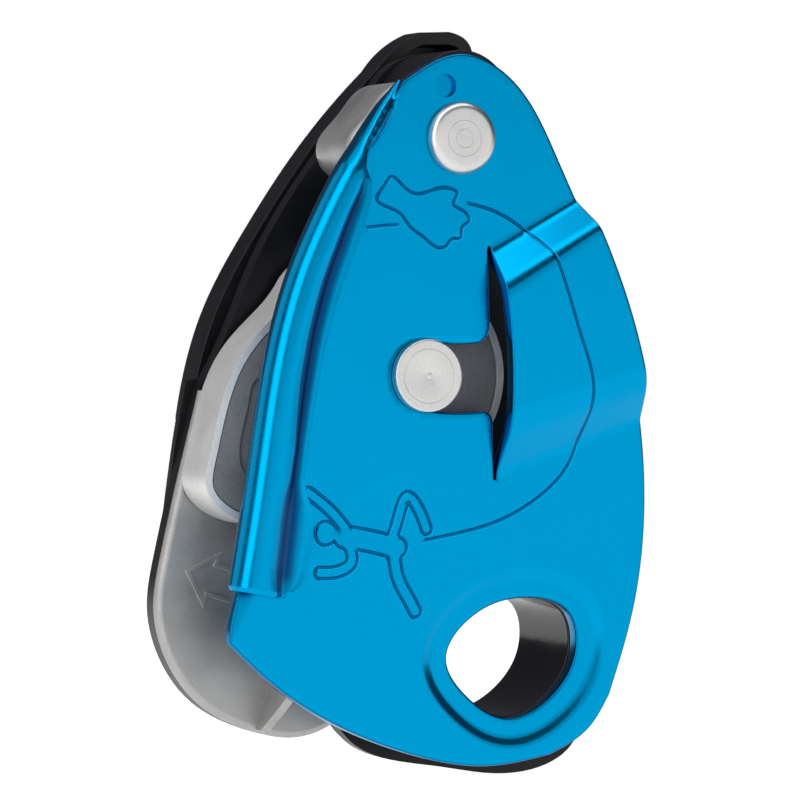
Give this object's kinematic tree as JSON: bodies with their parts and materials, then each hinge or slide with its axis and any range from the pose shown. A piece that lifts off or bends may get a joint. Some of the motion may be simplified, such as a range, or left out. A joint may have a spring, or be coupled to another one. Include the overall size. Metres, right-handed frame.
{
  "type": "belay device",
  "caption": "Assisted-braking belay device: two side plates, a sprung cam on an axle, a folding release handle and a carabiner hole.",
  "frame": {"origin": "centre of the attachment hole, half-way through the rope gap", "axes": "+Z from the attachment hole towards the plate rivet end (longest), +Y from the moving plate towards the handle (shortest), +X to the right seen from the moving plate"},
  "size_m": [0.0674, 0.0335, 0.1041],
  "materials": {
    "anodised_blue": "satin anodised, dyed blue",
    "anodised_black": "satin anodised, dyed black",
    "blasted_stainless": "bead-blasted stainless sheet",
    "turned_steel": "turned, fine concentric marks",
    "cast_steel": "investment cast and tumbled",
    "phosphated_steel": "dark grey phosphated",
    "black_nylon": "moulded glass-filled nylon",
    "grey_nylon": "moulded glass-filled nylon",
    "bearing_bronze": "sintered bronze",
    "spring_steel": "drawn spring wire"
  },
  "bodies": {
    "frame": {"fixed_side_plate": "anodised_black", "wear_plate": "blasted_stainless", "wear_plate_rivets": "turned_steel", "brake_anvil": "cast_steel", "anvil_pins": "turned_steel", "top_spacer": "grey_nylon", "pivot_washer": "black_nylon", "plate_rivet": "turned_steel", "attachment_bushing": "black_nylon", "rear_cover": "black_nylon", "cover_screws": "turned_steel", "cam_axle": "turned_steel", "axle_washer": "turned_steel", "retaining_ring": "spring_steel", "spring_stop_pin": "turned_steel", "cam_return_spring": "spring_steel", "handle_return_spring": "spring_steel"},
    "moving_plate": {"moving_side_plate": "anodised_blue"},
    "cam": {"cam": "cast_steel", "cam_face_insert": "phosphated_steel", "cam_bush": "bearing_bronze", "release_peg": "turned_steel"},
    "handle": {"handle_shell": "black_nylon", "handle_arm": "blasted_stainless", "handle_rivets": "turned_steel", "handle_bush": "bearing_bronze"}
  },
  "joints": [
    {"name": "moving_plate_swing", "type": "hinge", "parent": "frame", "child": "moving_plate", "pos_m": [-0.0082, 0, 0.071], "axis": [0, 1, 0], "range_deg": [0, 110]},
    {"name": "cam_pivot", "type": "hinge", "parent": "frame", "child": "cam", "pos_m": [-0.0135, 0, 0.0388], "axis": [0, 1, 0], "range_deg": [0, 18], "stiffness_Nm_per_rad": 0.02, "springref_deg": -28.65, "deforming": ["cam_return_spring"]},
    {"name": "handle_swing", "type": "hinge", "parent": "frame", "child": "handle", "pos_m": [-0.0135, 0, 0.0388], "axis": [0, -1, 0], "range_deg": [0, 95], "stiffness_Nm_per_rad": 0.008, "springref_deg": -28.65, "deforming": ["handle_return_spring"]}
  ]
}
